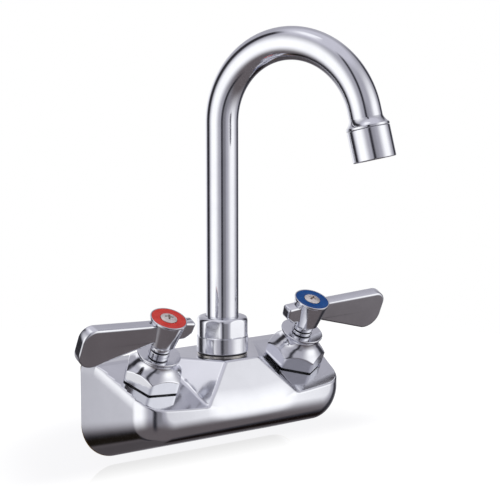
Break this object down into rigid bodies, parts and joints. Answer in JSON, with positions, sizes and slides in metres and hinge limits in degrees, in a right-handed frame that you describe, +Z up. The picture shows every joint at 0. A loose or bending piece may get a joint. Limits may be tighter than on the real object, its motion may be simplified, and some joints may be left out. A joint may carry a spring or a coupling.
{
  "type": "commercial wall-mount faucet",
  "caption": "Wall-mounted sink faucet with a hollow cast body, quarter-turn lever valves on sloped pads and a swivelling gooseneck spout with an aerator.",
  "frame": {"origin": "on the wall plane, midway between the two inlet axes", "axes": "+Y into the wall, +Z up, +X along the body towards the cold side"},
  "size_m": [0.2128, 0.1593, 0.2471],
  "materials": {
    "chrome": "polished chrome plate",
    "brass": "machined",
    "black_rubber": "moulded, matt",
    "white_acetal": "moulded",
    "steel": "plain stainless",
    "black_steel": "blackened",
    "ceramic": "lapped ceramic",
    "red_plastic": "moulded",
    "blue_plastic": "moulded"
  },
  "bodies": {
    "body": {"faucet_body": "chrome", "spout_bushing": "brass", "spout_gasket": "black_rubber", "spout_nut": "chrome", "spout_slip_ring": "white_acetal", "hot_bonnet": "chrome", "hot_bonnet_gasket": "black_rubber", "hot_stem_bushing": "chrome", "hot_fixed_disc": "ceramic", "hot_seat_seal": "black_rubber", "hot_inlet_shank": "brass", "hot_rubber_washer": "black_rubber", "hot_steel_washer": "steel", "hot_lock_nut": "brass", "cold_bonnet": "chrome", "cold_bonnet_gasket": "black_rubber", "cold_stem_bushing": "chrome", "cold_fixed_disc": "ceramic", "cold_seat_seal": "black_rubber", "cold_inlet_shank": "brass", "cold_rubber_washer": "black_rubber", "cold_steel_washer": "steel", "cold_lock_nut": "brass"},
    "spout": {"spout_tube": "chrome", "spout_ferrule": "brass", "spout_o_rings": "black_rubber", "outlet_adapter": "chrome", "aerator_shell": "chrome", "aerator_washer": "black_rubber", "aerator_insert": "white_acetal", "aerator_screen": "steel"},
    "hot_handle": {"hot_lever": "chrome", "hot_index_ring": "red_plastic", "hot_handle_screw": "steel", "hot_spindle": "brass", "hot_moving_disc": "ceramic", "hot_stem_o_ring": "black_rubber", "hot_snap_ring": "black_steel"},
    "cold_handle": {"cold_lever": "chrome", "cold_index_ring": "blue_plastic", "cold_handle_screw": "steel", "cold_spindle": "brass", "cold_moving_disc": "ceramic", "cold_stem_o_ring": "black_rubber", "cold_snap_ring": "black_steel"}
  },
  "joints": [
    {"name": "spout_swivel", "type": "hinge", "parent": "body", "child": "spout", "pos_m": [0, -0.0282, 0.0322], "axis": [0, 0, 1], "range_deg": [-117.9, 72.1]},
    {"name": "hot_handle_turn", "type": "hinge", "parent": "body", "child": "hot_handle", "pos_m": [-0.0508, -0.0301, 0.02364], "axis": [0, -0.4258, 0.9048], "range_deg": [0, 90]},
    {"name": "cold_handle_turn", "type": "hinge", "parent": "body", "child": "cold_handle", "pos_m": [0.0508, -0.0301, 0.02364], "axis": [0, -0.4258, 0.9048], "range_deg": [-90, 0]}
  ]
}
